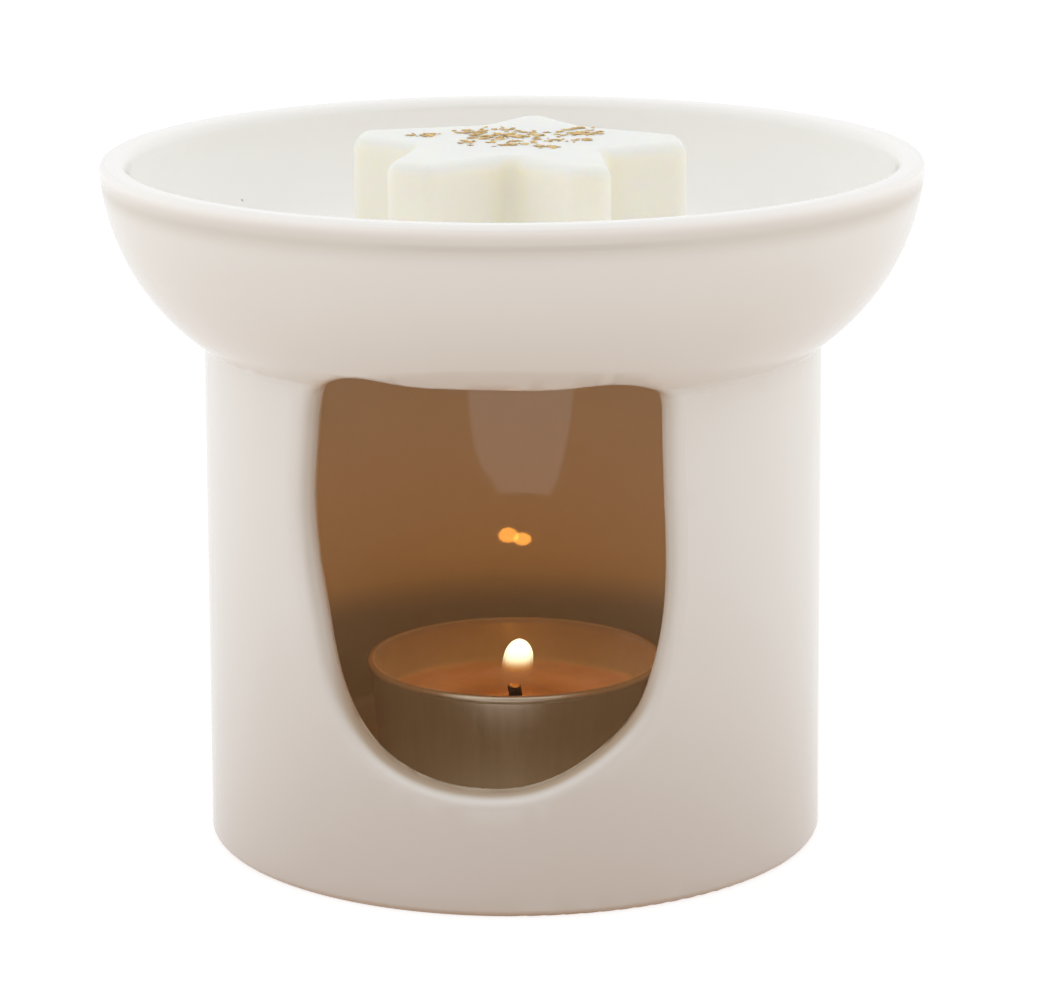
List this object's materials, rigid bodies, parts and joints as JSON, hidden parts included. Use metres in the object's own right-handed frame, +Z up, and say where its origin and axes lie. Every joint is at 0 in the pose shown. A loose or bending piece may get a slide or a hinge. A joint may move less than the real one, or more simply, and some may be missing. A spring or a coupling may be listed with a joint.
{
  "type": "wax melt warmer",
  "caption": "Glazed ceramic wax melt warmer: a flared bowl for scented wax over a round chamber with a U-shaped opening, where a tealight burns.",
  "frame": {"origin": "middle of the foot, on the surface that the warmer stands on", "axes": "+Z up through the bowl; the opening faces -Y, turned 6 degrees towards -X"},
  "size_m": [0.1032, 0.1032, 0.0887],
  "materials": {
    "glaze": "glossy warm white glaze",
    "melt_wax": "smooth ivory wax",
    "gold_leaf": "crumpled gold leaf",
    "cup_foil": "drawn thin aluminium",
    "candle_wax": "melted translucent wax",
    "wick_cotton": "charred braided cotton",
    "tinned_steel": "thin tinned steel"
  },
  "bodies": {
    "body": {"warmer_body": "glaze"},
    "melt": {"wax_melt": "melt_wax", "gold_flakes": "gold_leaf"},
    "tealight": {"tealight_cup": "cup_foil", "tealight_wax": "candle_wax", "wick": "wick_cotton", "wick_sustainer": "tinned_steel"}
  },
  "joints": [
    {"name": "wax_melt_lift", "type": "slide", "parent": "body", "child": "melt", "axis": [0, 0, 1], "range_m": [0, 0.03]},
    {"name": "tealight_draw", "type": "slide", "parent": "body", "child": "tealight", "axis": [-0.0836, -0.7956, 0.6], "range_m": [0, 0.07]}
  ]
}
